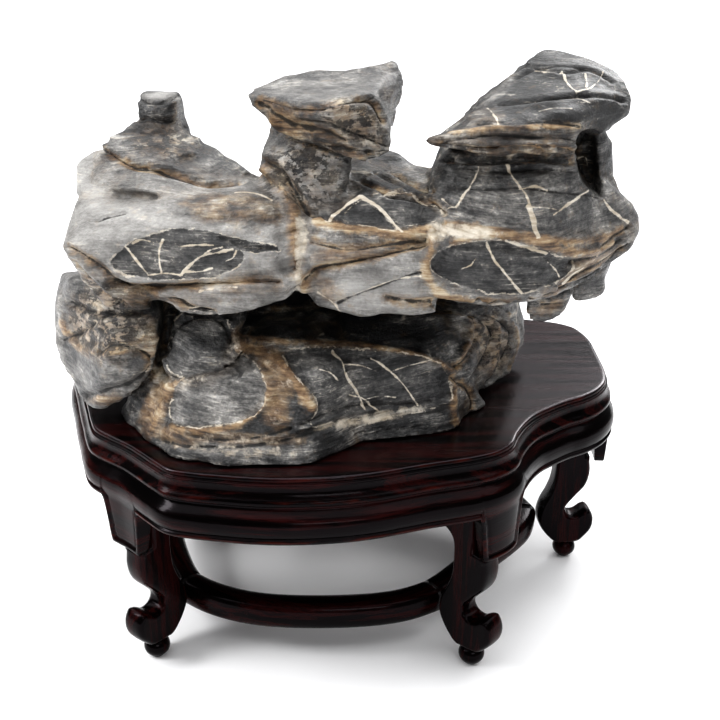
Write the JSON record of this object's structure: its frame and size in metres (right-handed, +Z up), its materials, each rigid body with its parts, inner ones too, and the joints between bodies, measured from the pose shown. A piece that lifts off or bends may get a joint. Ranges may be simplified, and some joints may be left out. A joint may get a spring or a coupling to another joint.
{
  "type": "scholar's rock on a stand",
  "caption": "Table-top scholar's rock, craggy and undercut with a capped pinnacle, resting on a low carved hardwood stand with a lobed top, cabriole legs and a ring stretcher.",
  "frame": {"origin": "on the floor, under the middle of the whole object's box", "axes": "+Z up, -Y towards the show side of the rock, +X along the stand's length"},
  "size_m": [0.405, 0.3192, 0.384],
  "materials": {
    "stone": "grey and charcoal limestone, hand-rubbed, with tan seams",
    "rosewood": "near-black red-brown hardwood, polished lacquer"
  },
  "bodies": {
    "root": {"scholars_rock": "stone", "top_board": "rosewood", "apron": "rosewood", "leg_front_left": "rosewood", "leg_front_right": "rosewood", "leg_right": "rosewood", "leg_back": "rosewood", "leg_left": "rosewood", "rail_1": "rosewood", "rail_2": "rosewood", "rail_3": "rosewood", "rail_4": "rosewood", "rail_5": "rosewood"}
  },
  "joints": []
}
